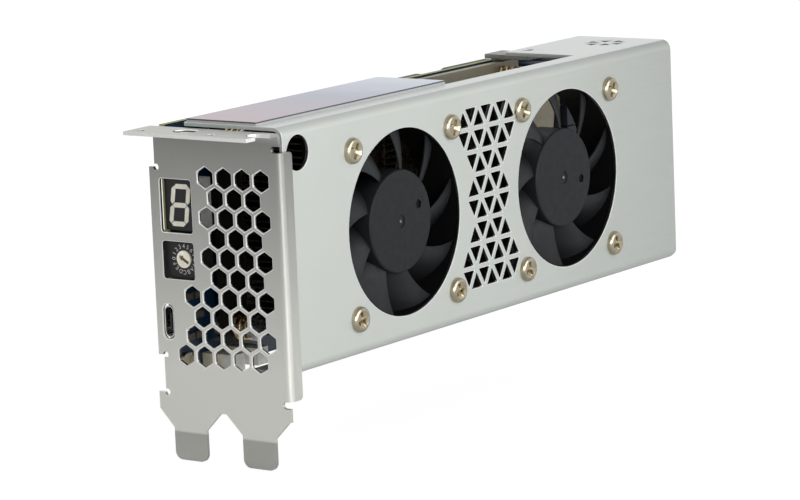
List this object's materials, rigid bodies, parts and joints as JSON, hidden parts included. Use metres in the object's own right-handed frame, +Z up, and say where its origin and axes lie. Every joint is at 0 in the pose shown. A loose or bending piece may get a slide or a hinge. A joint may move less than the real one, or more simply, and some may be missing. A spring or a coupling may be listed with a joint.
{
  "type": "fan-cooled accelerator card",
  "caption": "Low-profile two-slot expansion card with a vented bracket, metal cover, finned heat sink and blower-free axial cooling for adding compute to a server.",
  "frame": {"origin": "on the slot bracket's outer face, midway between its two tongues, 10 mm above their shoulders", "axes": "+X along the card away from the bracket, +Z up along the bracket, -Y out of the fan side of the cover"},
  "size_m": [0.18, 0.0409, 0.0807],
  "materials": {
    "bracket_steel": "satin nickel-plated sheet steel",
    "can_yellow": "yellow sleeve",
    "board_laminate": "blue solder mask over laminate",
    "dial_cream": "cream moulded rotor",
    "cover_metal": "satin bead-blasted sheet",
    "stay_tin": "tinned steel",
    "digit_cream": "cream light pipe",
    "face_black": "glossy black",
    "housing_grey": "moulded light grey",
    "gold_contact": "gold-plated",
    "bearing_bronze": "sintered bronze",
    "fan_black": "moulded black",
    "connector_cream": "cream nylon",
    "magnet_black": "bonded magnet",
    "motor_board_green": "small laminate board",
    "connector_white": "white nylon",
    "rotor_grey": "moulded dark grey, faint sheen",
    "shaft_steel": "ground steel",
    "stator_steel": "stacked steel sheets",
    "bronze_fin": "dark bronze fins",
    "bronze_plate": "warm brown anodised plate",
    "screw_nickel": "nickel-plated",
    "spring_brass": "bright brass wire",
    "ferrite_grey": "pressed ferrite",
    "label_plate": "satin pale lilac",
    "chip_black": "moulded black package",
    "carrier_green": "chip carrier laminate",
    "lid_nickel": "nickel-plated lid",
    "black_plastic": "moulded black",
    "part_cream": "pale fired ceramic",
    "pad_grey": "soft grey pad",
    "socket_steel": "bright tinned shell"
  },
  "bodies": {
    "card": {"bracket": "bracket_steel", "bracket_screws": "screw_nickel", "capacitors": "can_yellow", "circuit_board": "board_laminate", "code_switch_body": "black_plastic", "cover": "cover_metal", "cover_stay": "stay_tin", "display_digit": "digit_cream", "display_face": "face_black", "display_housing": "housing_grey", "edge_contacts": "gold_contact", "fan_bearing_1": "bearing_bronze", "fan_bearing_2": "bearing_bronze", "fan_frame_1": "fan_black", "fan_frame_2": "fan_black", "fan_headers": "connector_cream", "fan_motor_board_1": "motor_board_green", "fan_motor_board_2": "motor_board_green", "fan_plugs": "connector_white", "fan_screws": "screw_nickel", "fan_stator_1": "stator_steel", "fan_stator_2": "stator_steel", "heatsink_fins": "bronze_fin", "heatsink_nuts": "screw_nickel", "heatsink_plate": "bronze_plate", "heatsink_screws": "screw_nickel", "heatsink_springs": "spring_brass", "inductors": "ferrite_grey", "label_plate": "label_plate", "memory_chips": "chip_black", "power_stages": "chip_black", "processor_carrier": "carrier_green", "processor_lid": "lid_nickel", "rear_bars": "black_plastic", "small_board_parts": "part_cream", "thermal_pads": "pad_grey", "usb_shell": "socket_steel", "usb_tongue": "black_plastic"},
    "rotor_1": {"fan_rotor_1": "rotor_grey", "fan_shaft_1": "shaft_steel", "fan_magnet_1": "magnet_black"},
    "rotor_2": {"fan_rotor_2": "rotor_grey", "fan_shaft_2": "shaft_steel", "fan_magnet_2": "magnet_black"},
    "switch_rotor": {"code_switch_rotor": "dial_cream"}
  },
  "joints": [
    {"name": "fan_1_spin", "type": "hinge", "parent": "card", "child": "rotor_1", "pos_m": [0.0487, -0.013, 0.03324], "axis": [0, -1, 0], "continuous": true},
    {"name": "fan_2_spin", "type": "hinge", "parent": "card", "child": "rotor_2", "pos_m": [0.1191, -0.013, 0.03324], "axis": [0, -1, 0], "continuous": true},
    {"name": "code_switch_turn", "type": "hinge", "parent": "card", "child": "switch_rotor", "pos_m": [0.0015, 0.01055, 0.0301], "axis": [-1, 0, 0], "continuous": true}
  ]
}
